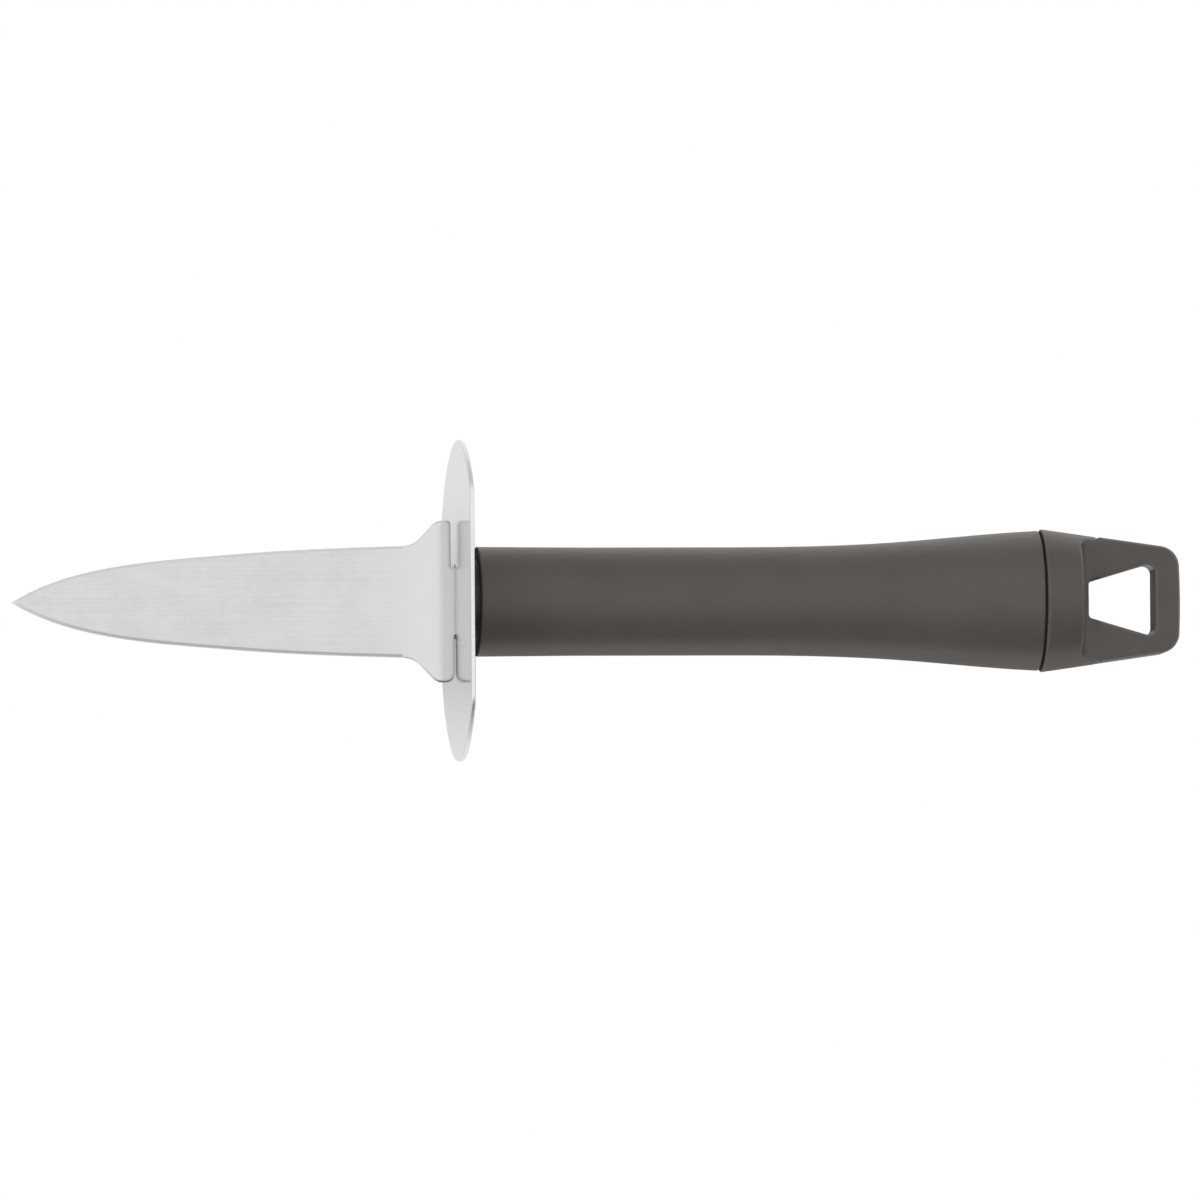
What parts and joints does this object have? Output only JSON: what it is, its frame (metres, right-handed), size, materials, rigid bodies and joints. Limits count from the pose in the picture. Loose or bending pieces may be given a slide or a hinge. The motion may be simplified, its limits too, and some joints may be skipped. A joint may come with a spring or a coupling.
{
  "type": "oyster knife",
  "caption": "Short steel blade with a point and two ears, a round hand guard with one flat side, and a flared handle that ends in a tab with a hanging slot.",
  "frame": {"origin": "on the handle's axis, halfway between the blade's point and the end of the hanging tab", "axes": "+X along the knife, from the point to the hanging tab; +Z square to the blade's flat face; +Y across the blade's width"},
  "size_m": [0.2054, 0.0562, 0.049],
  "materials": {
    "blade_steel": "ground lengthwise, with bright bevels",
    "guard_steel": "polished sheet",
    "core_plastic": "matte, as moulded",
    "handle_plastic": "matte, fine grain",
    "cap_plastic": "matte, fine grain"
  },
  "bodies": {
    "root": {"blade": "blade_steel", "hand_guard": "guard_steel", "tang_core": "core_plastic", "handle_sleeve": "handle_plastic", "end_cap": "cap_plastic"}
  },
  "joints": []
}
